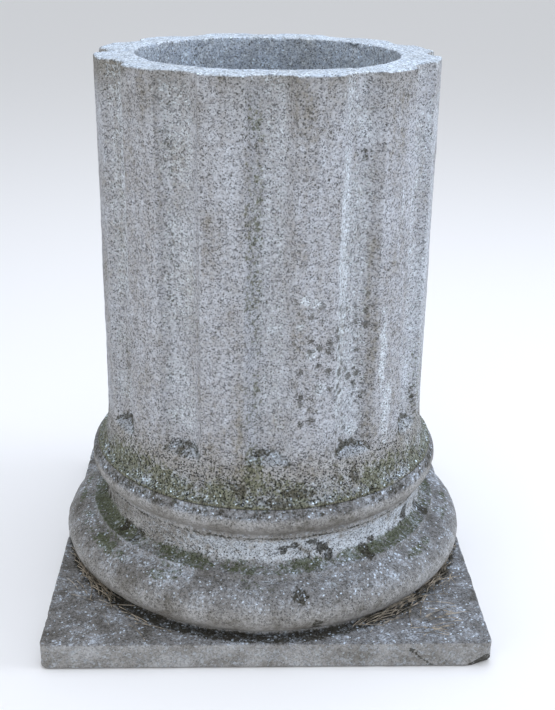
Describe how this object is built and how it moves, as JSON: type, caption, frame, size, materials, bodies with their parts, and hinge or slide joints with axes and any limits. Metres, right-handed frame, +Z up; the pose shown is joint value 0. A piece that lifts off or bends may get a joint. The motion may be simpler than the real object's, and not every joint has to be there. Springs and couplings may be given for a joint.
{
  "type": "hollow fluted column stub on an attic base",
  "caption": "Hollow fluted column stub of weathered cast stone, open at the top, standing on a roll-moulded base that is cast in one with its square plinth.",
  "frame": {"origin": "centre of the plinth's underside", "axes": "+Z up along the column's axis; the plinth's sides lie along X and Y, and its front, the side with the broken corner at its right end, faces -Y"},
  "size_m": [0.652, 0.652, 0.8254],
  "materials": {
    "shaft_stone": "matt weathered cast stone with bare sand, streaks of algae and pale lichen",
    "base_stone": "matt damp cast stone, darker, with moss in its hollows and white crust lichen",
    "pine_litter": "dry fallen pine needles"
  },
  "bodies": {
    "root": {"fluted_shaft": "shaft_stone", "moulded_base": "base_stone"}
  },
  "joints": []
}
